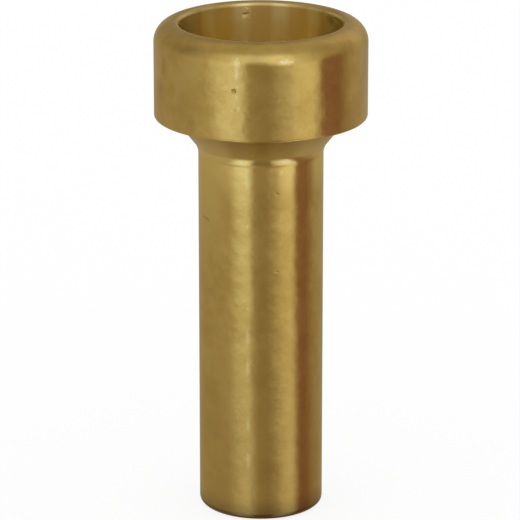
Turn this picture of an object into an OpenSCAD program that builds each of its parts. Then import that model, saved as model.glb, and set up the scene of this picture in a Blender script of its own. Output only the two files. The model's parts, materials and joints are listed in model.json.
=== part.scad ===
// A turned brass nipple, all one piece: a plain round stem, a flared neck and a cup-shaped head.
// The stem is bored through and tapped, and the bore opens into the socket in the head.
// Millimetres. The axis is Z, and z = 0 is the stem's cut end.

/* [Stem] */
// Outside diameter of the stem
stem_d = 6; // [5.2:0.1:6.8]
// Length of the stem, from its cut end to the foot of the neck
stem_l = 18.1; // [8:0.1:40]
// Chamfer around the stem's cut end
stem_chamfer = 0.2; // [0.05:0.05:0.5]

/* [Neck] */
// How far the neck flares out from the stem
neck_flare = 1.2; // [0.4:0.1:1.9]
// Height of the neck, from its foot on the stem to the head's underside
neck_h = 1.5; // [0.4:0.1:4]

/* [Head] */
// Outside diameter of the head
head_d = 10.2; // [9.6:0.1:14]
// Height of the head, from its underside to its rim
head_h = 4.6; // [3:0.1:8]
// Radius of the head's rounded top edge, which the head's wall may limit
shoulder_r = 0.95; // [0.2:0.05:1.1]
// Chamfer around the head's lower edge
head_chamfer = 0.1; // [0.05:0.05:0.4]

/* [Socket] */
// Diameter of the socket in the head
socket_d = 7.8; // [5:0.1:8.2]
// Metal left between the socket's floor and the head's underside
floor_t = 0.8; // [0.4:0.1:2]
// Chamfer around the socket's mouth
socket_chamfer = 0.2; // [0.05:0.05:0.3]

/* [Tapped bore] */
// Nominal diameter of the thread that is tapped through the stem
thread_d = 4; // [3:0.1:4.5]
// Pitch of that thread
thread_pitch = 0.7; // [0.4:0.05:0.8]
// How far the countersinks at both ends of the bore stand out from the thread
sink_clear = 0.1; // [0.05:0.05:0.3]

/* [Hidden] */
$fn = 128;
stem_r = stem_d / 2;
head_r = head_d / 2;
socket_r = socket_d / 2;
bore_r = (thread_d - thread_pitch) / 2;
sink_r = thread_d / 2 + sink_clear;
seat_z = stem_l + neck_h;
rim_z = seat_z + head_h;
floor_z = seat_z + floor_t;
least_rim = 0.05;
shoulder = min(shoulder_r, head_r - socket_r - socket_chamfer - least_rim);
cut = 0.5;

// Half section of the stem, with the chamfer at its cut end.
module stem_section() {
    polygon([
        [0, 0],
        [stem_r - stem_chamfer, 0],
        [stem_r, stem_chamfer],
        [stem_r, stem_l],
        [0, stem_l]
    ]);
}

// Half section of the neck, a cone from the stem up to the head's underside.
module neck_section() {
    polygon([[0, stem_l], [stem_r, stem_l], [stem_r + neck_flare, seat_z], [0, seat_z]]);
}

// Half section of the head before it is bored, with its rounded top edge.
module head_section() {
    polygon([
        [0, seat_z],
        [head_r - head_chamfer, seat_z],
        [head_r, seat_z + head_chamfer],
        [head_r, rim_z - shoulder],
        [head_r - shoulder, rim_z - shoulder],
        [head_r - shoulder, rim_z],
        [0, rim_z]
    ]);
    intersection() {
        translate([head_r - shoulder, rim_z - shoulder]) circle(r = shoulder);
        translate([head_r - shoulder, rim_z - shoulder]) square(shoulder);
    }
}

// The socket that is bored into the head, with the chamfer at its mouth.
module socket() {
    translate([0, 0, floor_z]) cylinder(r = socket_r, h = rim_z - floor_z + cut);
    translate([0, 0, rim_z - socket_chamfer])
        cylinder(r1 = socket_r, r2 = socket_r + socket_chamfer, h = socket_chamfer);
}

// The tapping hole through the stem, countersunk where it breaks out at each end.
module tapped_bore() {
    sink_h = sink_r - bore_r;
    translate([0, 0, -cut]) cylinder(r = bore_r, h = floor_z + 2 * cut);
    cylinder(r1 = sink_r, r2 = bore_r, h = sink_h);
    translate([0, 0, floor_z - sink_h]) cylinder(r1 = bore_r, r2 = sink_r, h = sink_h);
}

// The whole nipple, as it comes off the lathe.
module nipple() {
    color([0.66, 0.54, 0.28])
        difference() {
            rotate_extrude() {
                stem_section();
                neck_section();
                head_section();
            }
            socket();
            tapped_bore();
        }
}

nipple();
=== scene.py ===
import json
import math

import bpy
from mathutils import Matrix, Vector


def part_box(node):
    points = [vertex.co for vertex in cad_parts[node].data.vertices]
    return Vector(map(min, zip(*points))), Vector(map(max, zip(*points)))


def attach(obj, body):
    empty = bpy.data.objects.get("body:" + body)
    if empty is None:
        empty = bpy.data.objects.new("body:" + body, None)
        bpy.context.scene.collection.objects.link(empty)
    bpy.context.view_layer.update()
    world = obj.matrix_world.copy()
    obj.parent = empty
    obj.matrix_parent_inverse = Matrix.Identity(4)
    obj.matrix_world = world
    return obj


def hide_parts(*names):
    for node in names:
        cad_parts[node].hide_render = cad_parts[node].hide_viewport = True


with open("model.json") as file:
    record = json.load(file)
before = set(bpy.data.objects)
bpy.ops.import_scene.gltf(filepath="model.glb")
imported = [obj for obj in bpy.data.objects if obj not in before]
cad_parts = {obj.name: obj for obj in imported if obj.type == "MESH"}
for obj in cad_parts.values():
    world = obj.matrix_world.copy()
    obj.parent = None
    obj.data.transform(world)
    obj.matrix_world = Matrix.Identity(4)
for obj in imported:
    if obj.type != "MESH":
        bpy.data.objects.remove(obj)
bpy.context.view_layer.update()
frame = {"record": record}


# The nipple is one piece of brass bar, turned on a lathe: a plain round stem, a short neck
# that flares up to a cup-shaped head, a socket bored into the head, and an M4 thread tapped
# through the stem. Its main sizes come from the CAD node's box and from the record's mounts.
def mm(value):
    return value * 0.001


mounts = {mount["name"]: mount for mount in frame["record"]["mounts"]}


def round_wall(name):
    """The radius, lowest point and highest point of a mount's round wall."""
    half = mm(mounts[name]["dims"]["length_mm"]) / 2
    middle = mounts[name]["pos_m"][2]
    return mm(mounts[name]["dims"]["r_mm"]), middle - half, middle + half


foot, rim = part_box("nipple")
foot_z, rim_z, head_r = foot.z, rim.z, rim.x
stem_r, _, neck_z = round_wall("stem")
socket_r, floor_z, socket_high = round_wall("socket")
bore_r, bore_low, bore_high = round_wall("thread")
seat_z = mounts["seat"]["pos_m"][2]
foot_round = mm(0.3)
socket_edge = rim_z - socket_high
sink_r = bore_r + bore_low - foot_z
neck_flare = mm(1.2)
neck_fillet = mm(0.3)
head_edge = mm(0.1)
shoulder_r = mm(0.95)
socket_corner = mm(0.15)

# A ring lies a margin beyond each edge that is rounded later. A point counts as lying on a ring
# if it is this near to it.
margin = mm(0.05)
near = mm(0.002)
around = 192

bpy.ops.object.select_all(action="DESELECT")
stem_top = neck_z - neck_fillet - margin
stem_bottom = foot_z + foot_round + margin
bpy.ops.mesh.primitive_cylinder_add(
    vertices=around,
    radius=stem_r,
    depth=stem_top - stem_bottom,
    location=(0, 0, (stem_top + stem_bottom) / 2),
)
nipple = bpy.context.object
nipple.name = "turned_nipple"
bpy.ops.object.transform_apply(location=True, rotation=True, scale=True)


def clear_selection():
    """Leaves nothing selected, so that the next step takes only what it picks."""
    bpy.ops.object.mode_set(mode="OBJECT")
    for elements in (nipple.data.vertices, nipple.data.edges, nipple.data.polygons):
        for element in elements:
            element.select = False


def turn(radius, z, profile):
    """Extrudes the end face at z through the profile's radii and heights, and leaves it open."""
    clear_selection()
    for face in nipple.data.polygons:
        face.select = len(face.vertices) == around and abs(face.center.z - z) < near
    bpy.ops.object.mode_set(mode="EDIT")
    bpy.ops.mesh.select_mode(type="FACE")
    for next_radius, next_z in profile:
        bpy.ops.mesh.extrude_region_move(TRANSFORM_OT_translate={"value": (0, 0, next_z - z)})
        scale = next_radius / radius
        bpy.ops.transform.resize(value=(scale, scale, 1), center_override=(0, 0, next_z))
        radius, z = next_radius, next_z
    bpy.ops.mesh.delete(type="ONLY_FACE")


turn(
    stem_r,
    stem_top,
    [
        (stem_r, neck_z),
        (stem_r + neck_flare - margin, seat_z - margin),
        (stem_r + neck_flare, seat_z),
        (stem_r + neck_flare + margin, seat_z),
        (head_r - head_edge - margin, seat_z),
        (head_r, seat_z),
        (head_r, seat_z + head_edge + margin),
        (head_r, rim_z - shoulder_r - margin),
        (head_r, rim_z),
        (socket_r, rim_z),
        (socket_r, rim_z - socket_edge - margin),
        (socket_r, floor_z + socket_corner + margin),
        (socket_r, floor_z),
        (socket_r - socket_corner - margin, floor_z),
        (sink_r + margin, floor_z),
        (sink_r, floor_z),
        (bore_r, bore_high),
    ],
)
turn(
    stem_r,
    stem_bottom,
    [
        (stem_r, foot_z),
        (stem_r - foot_round - margin, foot_z),
        (sink_r + margin, foot_z),
        (sink_r, foot_z),
        (bore_r, bore_low),
    ],
)


def select_rings(*rings):
    """Selects the round edges that lie at each radius and height."""
    clear_selection()
    points = [vertex.co for vertex in nipple.data.vertices]
    for edge in nipple.data.edges:
        ends = [points[index] for index in edge.vertices]
        edge.select = any(
            all(abs(end.z - z) < near and abs(end.xy.length - radius) < near for end in ends)
            for radius, z in rings
        )
    bpy.ops.object.mode_set(mode="EDIT")
    bpy.ops.mesh.select_mode(type="EDGE")


for ring, width, segments in (
    ((stem_r, foot_z), foot_round, 10),
    ((stem_r, neck_z), neck_fillet, 8),
    ((head_r, seat_z), head_edge, 5),
    ((head_r, rim_z), shoulder_r, 28),
    ((socket_r, rim_z), socket_edge, 6),
    ((socket_r, floor_z), socket_corner, 6),
):
    select_rings(ring)
    bpy.ops.mesh.bevel(offset=width, segments=segments, profile=0.5, affect="EDGES")

# The tap leaves a right-hand thread: rings of points in the bore move out into a helix with a
# flat root and sloping flanks, which fades out towards both ends of the bore.
thread_pitch = mm(0.7)
thread_depth = mm(0.38)
thread_run_out = mm(0.7)
flank_start = 1.15
flank_slope = 2.6
rings_per_turn = 10
ring_count = int((bore_high - bore_low) / thread_pitch * rings_per_turn)
select_rings((bore_r, bore_high), (bore_r, bore_low))
bpy.ops.mesh.bridge_edge_loops(number_cuts=ring_count)
bpy.ops.object.mode_set(mode="OBJECT")
for vertex in nipple.data.vertices:
    point = vertex.co
    if point.xy.length > bore_r + near or not bore_low + near < point.z < bore_high - near:
        continue
    turns = point.z / thread_pitch - math.atan2(point.y, point.x) / math.tau
    along = turns % 1
    groove = min(1, max(0, flank_start - abs(along - 0.5) * flank_slope))
    end = min(point.z - bore_low, bore_high - point.z)
    grow = 1 + thread_depth * groove * min(1, end / thread_run_out) / bore_r
    point.x *= grow
    point.y *= grow

weld_distance = mm(0.0005)
smooth_below = math.radians(32)
bpy.ops.object.mode_set(mode="EDIT")
bpy.ops.mesh.select_all(action="SELECT")
bpy.ops.mesh.remove_doubles(threshold=weld_distance)
bpy.ops.mesh.normals_make_consistent(inside=False)
bpy.ops.object.mode_set(mode="OBJECT")
bpy.ops.object.shade_smooth_by_angle(angle=smooth_below)

# The brass is one metal. It keeps the lathe's fine lines and long waves, a slow tarnish, the small
# marks of use, and painted highlights and shade, and the socket is left rougher than the outside.
brass = bpy.data.materials.new("brass")
brass.use_nodes = True
nodes, links = brass.node_tree.nodes, brass.node_tree.links
shader = nodes["Principled BSDF"]
shader.inputs["Metallic"].default_value = 1
shader.inputs["Anisotropic"].default_value = 0.8
shader.inputs["Anisotropic Rotation"].default_value = 0.25
shader.inputs["Specular Tint"].default_value = (1.0, 0.97, 0.88, 1)


def node(kind, settings=(), values=()):
    """Adds a node to the material at hand, with its settings and its unlinked sockets' values."""
    made = nodes.new(kind)
    for name, value in dict(settings).items():
        setattr(made, name, value)
    for name, value in dict(values).items():
        made.inputs[name].default_value = value
    return made


def sums(operation, first, *others):
    """Works one kind of sum over numbers and sockets, from left to right."""
    for other in others or (0,):
        made = node("ShaderNodeMath", {"operation": operation})
        for socket, value in zip(made.inputs, (first, other)):
            if isinstance(value, (int, float)):
                socket.default_value = value
            else:
                links.new(value, socket)
        first = made.outputs[0]
    return first


def spread(value, low, high, new_low, new_high):
    """Eases from new_low to new_high while the value goes from low to high."""
    made = node(
        "ShaderNodeMapRange",
        {"interpolation_type": "SMOOTHSTEP"},
        {"From Min": low, "From Max": high, "To Min": new_low, "To Max": new_high},
    )
    links.new(value, made.inputs["Value"])
    return made.outputs["Result"]


def noise(vector, scale, detail, roughness=0.5):
    settings = {"Scale": scale, "Detail": detail, "Roughness": roughness}
    made = node("ShaderNodeTexNoise", values=settings)
    links.new(vector, made.inputs["Vector"])
    return made.outputs["Fac"]


def blend(factor, first, second):
    """Mixes two colours, each given as numbers or as a socket."""
    made = node("ShaderNodeMix", {"data_type": "RGBA"})
    links.new(factor, made.inputs["Factor"])
    for name, value in (("A", first), ("B", second)):
        if isinstance(value, tuple):
            made.inputs[name].default_value = (*value, 1)
        else:
            links.new(value, made.inputs[name])
    return made.outputs["Result"]


# Lengths in the brass are millimetres. The tool's path runs up the walls and across the flats,
# so a lathe line follows the height and the radius together.
place = node("ShaderNodeMapping", values={"Scale": (1000, 1000, 1000)})
links.new(node("ShaderNodeTexCoord").outputs["Object"], place.inputs["Vector"])
in_mm = place.outputs["Vector"]
split = node("ShaderNodeSeparateXYZ")
links.new(in_mm, split.inputs[0])
x, y, z = split.outputs
radius = sums("SQRT", sums("ADD", sums("MULTIPLY", x, x), sums("MULTIPLY", y, y)))
travel = sums("ADD", z, sums("MULTIPLY", radius, 0.7))
lathe = node("ShaderNodeCombineXYZ")
for axis, run, lines_per_mm in (("X", x, 0.12), ("Y", y, 0.12), ("Z", travel, 9.0)):
    links.new(sums("MULTIPLY", run, lines_per_mm), lathe.inputs[axis])
fine_lines = noise(lathe.outputs[0], scale=1.0, detail=4.0, roughness=0.7)
waves = noise(in_mm, scale=0.9, detail=1.5)
ripples = noise(in_mm, scale=2.5, detail=1.0)
grain = noise(in_mm, scale=7.0, detail=3.0, roughness=0.6)
mottle = noise(in_mm, scale=11.0, detail=2.0, roughness=0.6)
head_mm, stem_mm, socket_mm = head_r * 1000, stem_r * 1000, socket_r * 1000
neck_mm, seat_mm = neck_z * 1000, seat_z * 1000
floor_mm, rim_mm = floor_z * 1000, rim_z * 1000


def spots(wall_mm, size, tall, *places):
    """A mask of ragged spots on a round wall, tall times as high as they are wide.

    Each place is an angle, in degrees to the right of the front, and a height.
    """
    raggedness = size * 2.6
    core, edge = size * 1.6, size * 2.9
    mask = 0
    for degrees, height_mm in places:
        angle = math.radians(degrees)
        middle = (wall_mm * math.sin(angle), -wall_mm * math.cos(angle), height_mm)
        away = node("ShaderNodeVectorMath", {"operation": "SUBTRACT"})
        links.new(in_mm, away.inputs[0])
        away.inputs[1].default_value = middle
        squeezed = node("ShaderNodeVectorMath", {"operation": "MULTIPLY"})
        links.new(away.outputs["Vector"], squeezed.inputs[0])
        squeezed.inputs[1].default_value = (1, 1, 1 / tall)
        far = node("ShaderNodeVectorMath", {"operation": "LENGTH"})
        links.new(squeezed.outputs["Vector"], far.inputs[0])
        ragged = sums("ADD", far.outputs["Value"], sums("MULTIPLY", mottle, raggedness))
        mask = sums("MAXIMUM", mask, spread(ragged, core, edge, 1, 0))
    return mask


pits = sums(
    "MAXIMUM",
    spots(head_mm, 0.085, 0.9, (-14.1, 22.06)),
    spots(head_mm, 0.04, 1.0, (-15.0, 22.11)),
    spots(socket_mm, 0.08, 0.5, (-168.6, 23.60), (-170.0, 23.63)),
)
faint_pits = spots(head_mm, 0.07, 1.0, (-13.7, 21.15))
# The nicks stand proud in the relief, and their bright colour is a painted highlight.
nicks_and_glints = spots(socket_mm, 0.11, 1.0, (-170.2, 23.80), (-169.4, 23.40))
knocks = spots(stem_mm, 0.10, 0.6, (14.6, 16.51), (14.3, 12.68))
scratch_path = ((-66.2, 14.92), (-63.5, 14.91), (-61.0, 14.90), (-58.5, 14.89), (-56.4, 14.88))
scratch = spots(stem_mm, 0.07, 0.8, *scratch_path)
smudge = spots(socket_mm, 0.30, 0.6, (121, 23.74))
stains = spots(head_mm, 0.25, 1.5, (-63.0, 22.6), (-68.0, 21.4), (-40.0, 20.2))
# The glints are painted highlights: bright colour where the brass would catch a bright light.
painted_glints = sums(
    "MAXIMUM",
    spots(head_mm, 0.13, 2.0, (-12.5, 23.38)),
    spots(head_mm, 0.08, 4.0, (-12.9, 22.9)),
    spots(head_mm, 0.30, 0.35, (13.0, 23.42)),
    spots(stem_mm, 0.28, 0.45, (-17.5, 18.06)),
    spots(stem_mm, 0.30, 0.35, (22.5, 18.08)),
    spots(stem_mm, 0.11, 1.0, (18.5, 17.52)),
    spots(stem_mm, 0.09, 5.0, (-13.1, 17.3)),
    nicks_and_glints,
)
faint_painted_glints = sums(
    "MAXIMUM",
    spots(head_mm, 0.06, 1.6, (-12.4, 22.27), (-12.8, 21.81), (-11.9, 21.25)),
    spots(stem_mm, 0.07, 1.4, (-12.7, 14.90), (-12.5, 10.82)),
    spots(stem_mm, 0.09, 4.0, (-12.2, 9.35), (-12.2, 7.85), (-12.0, 4.95), (-12.0, 3.09)),
)

# The relief is shallow: lathe lines, waves, ripples and grain, which are weaker in the socket,
# and then the nicks, which stand proud, and the pits, knocks and scratch, which don't.
bored = sums(
    "MULTIPLY",
    spread(radius, socket_mm + 0.02, socket_mm + 0.08, 1, 0),
    spread(z, floor_mm - 0.5, floor_mm - 0.3, 0, 1),
)
relief = sums("MULTIPLY", fine_lines, 0.0003)
for form, depth_mm in ((waves, 0.024), (ripples, 0.0045), (grain, 0.0001)):
    relief = sums("ADD", relief, sums("MULTIPLY", form, depth_mm))
relief = sums("MULTIPLY", relief, spread(bored, 0, 1, 1, 0.3))
deep_mm, slight_mm = 0.03, 0.008
dents = sums("MULTIPLY", sums("SUBTRACT", nicks_and_glints, pits), deep_mm)
dents = sums("ADD", dents, sums("MULTIPLY", sums("ADD", knocks, scratch), -slight_mm))
bump = node("ShaderNodeBump", values={"Strength": 1.0, "Distance": 0.001})
links.new(sums("ADD", relief, dents), bump.inputs["Height"])
links.new(bump.outputs["Normal"], shader.inputs["Normal"])
tangent = node("ShaderNodeTangent", {"direction_type": "RADIAL", "axis": "Z"})
links.new(tangent.outputs["Tangent"], shader.inputs["Tangent"])

# The outside has gone patchy with a slow tarnish.
fresh_brass = (0.83, 0.635, 0.225)
tarnished_brass = (0.735, 0.53, 0.17)
tarnish = spread(noise(in_mm, scale=0.6, detail=6.0, roughness=0.66), 0.38, 0.64, 0, 1)
colour = blend(tarnish, fresh_brass, tarnished_brass)

# Pale bars are painted round the socket as reflections, strongest near its mouth, and the socket's two
# sides are painted pale all over as light.
bar_gaps, reflection_bar_brass = (0.84, 0.665, 0.275), (1.0, 0.89, 0.48)
bar_count = 13
bar_angle = sums("MULTIPLY", sums("ARCTAN2", x, y), bar_count)
painted_reflection_bars = spread(sums("COSINE", sums("ADD", bar_angle, math.pi)), -0.4, 1, 0, 1)
painted_reflection_bars = sums(
    "MULTIPLY",
    painted_reflection_bars,
    spread(z, rim_mm - 1.3, rim_mm - 0.7, 0.55, 1),
    spread(radius, socket_mm - 0.2, socket_mm - 0.05, 0.4, 1),
)
painted_light_at_sides = spread(sums("ABSOLUTE", x), socket_mm - 1.1, socket_mm - 0.4, 0, 0.9)
painted_reflection_bars = sums("MAXIMUM", painted_reflection_bars, painted_light_at_sides)
colour = blend(bored, colour, blend(painted_reflection_bars, bar_gaps, reflection_bar_brass))

# The top of the stem is painted brighter as a reflection, to either side of the middle and furthest
# down at the left, but not in a strip at the right.
painted_sheen_brass = (1.0, 0.79, 0.30)
either_side = sums("MAXIMUM", spread(x, -0.9, -0.3, 1, 0.1), spread(x, 0.65, 1.25, 0.1, 1))
near_neck = spread(z, neck_mm - 2.6, neck_mm - 0.5, 0, 1)
at_left = spread(x, -2.3, -1.5, 1, 0)
further_down = spread(z, neck_mm - 5.5, neck_mm - 1.6, 0, 0.8)
sheen_gap = sums("MULTIPLY", spread(x, 1.5, 1.75, 0, 1), spread(x, 2.3, 2.65, 1, 0))
painted_sheen = sums(
    "MULTIPLY",
    sums("MAXIMUM", sums("MULTIPLY", near_neck, either_side), sums("MULTIPLY", further_down, at_left)),
    sums("SUBTRACT", 1, sheen_gap),
    spread(z, neck_mm + 0.05, neck_mm + 0.25, 1, 0),
)
colour = blend(painted_sheen, colour, painted_sheen_brass)

# The neck is painted darker up to the head, as shade under it, and the stem gets darker down to its
# foot.
neck_foot, shaded_neck_top = (0.83, 0.635, 0.235), (0.62, 0.455, 0.16)
on_neck = sums(
    "MULTIPLY",
    spread(z, neck_mm + 0.05, neck_mm + 0.25, 0, 1),
    spread(z, seat_mm - 0.02, seat_mm + 0.01, 1, 0),
)
shade_up_the_neck = spread(z, neck_mm + 0.2, seat_mm - 0.2, 0, 1)
colour = blend(on_neck, colour, blend(shade_up_the_neck, neck_foot, shaded_neck_top))
# The last two rows paint a reflection of the part's shadow on the paper into its lowest 1.3 mm.
for full_mm, gone_mm, strength, darker_brass in (
    (0.8, 13.0, 0.5, (0.62, 0.44, 0.15)),
    (0.0, 1.3, 0.75, (0.28, 0.20, 0.085)),
    (0.24, 0.36, 0.75, (0.16, 0.115, 0.055)),
):
    colour = blend(spread(z, full_mm, gone_mm, strength, 0), colour, darker_brass)

# The marks lie over all of it, the glints' painted highlights first.
painted_glint_brass, pit_brass = (1.0, 0.88, 0.43), (0.36, 0.26, 0.04)
painted_highlights = sums("MAXIMUM", sums("MULTIPLY", painted_glints, 0.75), sums("MULTIPLY", faint_painted_glints, 0.4))
colour = blend(painted_highlights, colour, painted_glint_brass)
for marks, strength, dark_brass in (
    (sums("MAXIMUM", knocks, scratch), 0.45, (0.40, 0.28, 0.10)),
    (stains, 0.3, (0.40, 0.30, 0.09)),
    (smudge, 0.5, (0.35, 0.25, 0.09)),
):
    colour = blend(sums("MULTIPLY", marks, strength), colour, dark_brass)
pitted = sums("MAXIMUM", sums("MULTIPLY", pits, 0.7), sums("MULTIPLY", faint_pits, 0.35))
colour = blend(pitted, colour, pit_brass)
links.new(colour, shader.inputs["Base Color"])

smoothest, roughest, bore_extra = 0.15, 0.20, 0.13
finish = spread(grain, 0.3, 0.7, smoothest, roughest)
finish = sums("ADD", finish, sums("MULTIPLY", bored, bore_extra))
links.new(finish, shader.inputs["Roughness"])
nipple.data.materials.append(brass)

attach(nipple, "root")
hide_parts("nipple")


# The part stands on a wide sheet of white paper. The polished wall would mirror the sheet
# right up to the foot, so the sheet is hidden from reflections.
bpy.ops.mesh.primitive_plane_add(size=4, location=(0, 0, foot_z))
sheet = bpy.context.object
sheet.name = "paper_sheet"
bpy.ops.object.transform_apply(location=True, rotation=True, scale=True)
paper = bpy.data.materials.new("white_paper")
paper.use_nodes = True
nodes, links = paper.node_tree.nodes, paper.node_tree.links
matt = nodes["Principled BSDF"]
matt.inputs["Base Color"].default_value = (0.97, 0.97, 0.97, 1)
matt.inputs["Roughness"].default_value = 1
matt.inputs["Specular IOR Level"].default_value = 0
lit = node("ShaderNodeEmission")
shown = node("ShaderNodeMixShader")
lit_share = 0.85
seen = node("ShaderNodeLightPath").outputs["Is Camera Ray"]
links.new(sums("MULTIPLY", seen, lit_share), shown.inputs[0])
links.new(matt.outputs[0], shown.inputs[1])
links.new(lit.outputs[0], shown.inputs[2])
links.new(shown.outputs[0], nodes["Material Output"].inputs["Surface"])
paper.cycles.emission_sampling = "NONE"
sheet.data.materials.append(paper)
sheet.visible_glossy = False


# A soft white world lights the sheet from all sides and is the white background. In the
# brass the tent stands in front of it.
world = bpy.data.worlds.new("studio")
bpy.context.scene.world = world
world.use_nodes = True
world.node_tree.nodes["Background"].inputs["Color"].default_value = (1, 1, 1, 1)
world.node_tree.nodes["Background"].inputs["Strength"].default_value = 1


# A light tent stands around the part and shows only in the brass: grey cloth with two tall
# bright windows in front, a bright strip over them, and a brown card on the right.
bpy.ops.mesh.primitive_uv_sphere_add(segments=96, ring_count=48, radius=0.6)
tent = bpy.context.object
tent.name = "tent"
bpy.ops.object.shade_smooth()
cloth = bpy.data.materials.new("tent_cloth")
cloth.use_nodes = True
nodes, links = cloth.node_tree.nodes, cloth.node_tree.links
nodes.clear()
place = node("ShaderNodeTexCoord")
split = node("ShaderNodeSeparateXYZ")
direction = node("ShaderNodeVectorMath", {"operation": "NORMALIZE"})
links.new(place.outputs["Object"], direction.inputs[0])
links.new(direction.outputs[0], split.inputs[0])
x, y, z = split.outputs
degree = math.pi / 180
turned = sums("ARCTAN2", x, sums("MULTIPLY", y, -1))
share = sums("ADD", sums("DIVIDE", turned, math.tau), 0.5)
raised = sums("MULTIPLY", sums("ARCSINE", z), 1 / degree)


def panels(stops, along=share):
    """A ring of panels: each stop is an angle to the right of the front, and a colour."""
    ramp = node("ShaderNodeValToRGB")
    links.new(along, ramp.inputs[0])
    elements = ramp.color_ramp.elements
    while len(elements) < len(stops):
        elements.new(0.5)
    for element, (degrees, colour) in zip(elements, stops):
        element.position = (degrees + 180) / 360
        element.color = (*colour, 1)
    return ramp.outputs["Color"]


grey = (0.375, 0.325, 0.255)
dim_grey = (0.36, 0.305, 0.225)
dim = (0.31, 0.265, 0.20)
dusk = (0.28, 0.24, 0.19)
white = (0.75, 0.74, 0.71)
warm = (0.73, 0.68, 0.54)
soft = (0.46, 0.41, 0.31)
shade = (0.285, 0.228, 0.155)
deep = (0.22, 0.18, 0.13)
glare = (0.92, 0.90, 0.90)
brown = (0.25, 0.14, 0.11)
ground = (0.275, 0.215, 0.155)
roof = (0.415, 0.36, 0.275)
ground_ring = panels([
    (-180, grey), (-72, grey), (-50, white), (-26, white), (-15, deep), (22, deep),
    (36, white), (70, white), (78, brown), (96, brown), (112, grey), (180, grey),
])

# Near the ground the cloth is pulled round to the right, by this share of a full turn.
pull = 0.024
pulled = sums("SUBTRACT", share, spread(raised, -22.5, -17.5, pull, 0))
fold_ring = panels([
    (-180, (0.37, 0.325, 0.235)), (-105, (0.375, 0.315, 0.22)), (-82, (0.36, 0.30, 0.22)),
    (-61, (0.365, 0.305, 0.23)), (-51, (0.385, 0.335, 0.24)), (-39, (0.465, 0.43, 0.355)),
    (-21, (0.515, 0.495, 0.42)), (-17, (0.43, 0.385, 0.295)), (-10, (0.32, 0.26, 0.19)),
    (3, (0.30, 0.23, 0.16)), (11, (0.27, 0.205, 0.14)), (27, (0.31, 0.24, 0.165)),
    (38, (0.47, 0.40, 0.30)), (50, (0.60, 0.545, 0.435)), (60, (0.57, 0.50, 0.40)),
    (66, (0.43, 0.35, 0.27)), (72, (0.245, 0.135, 0.105)), (90, (0.23, 0.13, 0.085)),
    (114, (0.33, 0.24, 0.18)), (138, (0.355, 0.31, 0.225)), (180, (0.37, 0.325, 0.235)),
], pulled)
window_ring = panels([
    (-180, grey), (-130, dim_grey), (-95, grey), (-61, soft), (-43, (0.78, 0.765, 0.725)),
    (-29, (0.81, 0.795, 0.75)), (-21, (0.70, 0.685, 0.64)), (-17, soft), (-12, shade),
    (11, shade), (24, soft), (38, warm), (57, warm), (64, soft), (69, brown), (90, brown),
    (112, grey), (180, grey),
])
strip_ring = panels([
    (-180, dusk), (-120, dim), (-90, (0.25, 0.21, 0.165)), (-70, (0.36, 0.305, 0.24)),
    (-45, (0.62, 0.58, 0.50)), (-25, white), (0, (0.70, 0.68, 0.68)), (14, glare),
    (26, glare), (43, (0.60, 0.54, 0.45)), (65, soft), (90, (0.35, 0.28, 0.21)),
    (112, dim_grey), (135, (0.50, 0.43, 0.35)), (162, (0.44, 0.375, 0.30)), (180, dusk),
])

# The strip hangs 10 degrees lower over the right window, and is lifted by 12 over the card.
# Each ring then passes into the next one up between two heights in degrees.
to_right = sums("MULTIPLY", turned, 1 / degree)
lowered = spread(to_right, 0, 20, 0, 10)
lifted = spread(to_right, 60, 75, 0, 12)
over_strip = sums("ADD", raised, sums("SUBTRACT", lowered, lifted))
colour = ground
for height, start, end, ring in (
    (raised, -72, -53, ground_ring),
    (raised, -36, -24.5, fold_ring),
    (raised, -17.5, -14.5, window_ring),
    (over_strip, -6, 24, strip_ring),
    (raised, 36, 68, roof),
):
    colour = blend(spread(height, start, end, 0, 1), colour, ring)
glow = node("ShaderNodeEmission")
links.new(colour, glow.inputs["Color"])
links.new(glow.outputs[0], node("ShaderNodeOutputMaterial").inputs["Surface"])
cloth.cycles.emission_sampling = "NONE"
tent.data.materials.append(cloth)
tent.visible_camera = False
tent.visible_diffuse = False
tent.visible_shadow = False
tent.visible_transmission = False


# The camera looks down at the part from the front, from 17.6 degrees above level and about
# 17 cm away, through a long lens.
camera_data = bpy.data.cameras.new("camera")
camera = bpy.data.objects.new("camera", camera_data)
bpy.context.scene.collection.objects.link(camera)
camera_data.lens = 246.4
camera_data.clip_start = 0.01
distance = 0.172
elevation = math.radians(17.56)
aim = Vector((mm(-0.044), 0, mm(12.333)))
camera.location = aim + distance * Vector((0, -math.cos(elevation), math.sin(elevation)))
camera.rotation_euler = (math.pi / 2 - elevation, 0, 0)
bpy.context.scene.camera = camera
bpy.context.scene.view_settings.view_transform = "Standard"
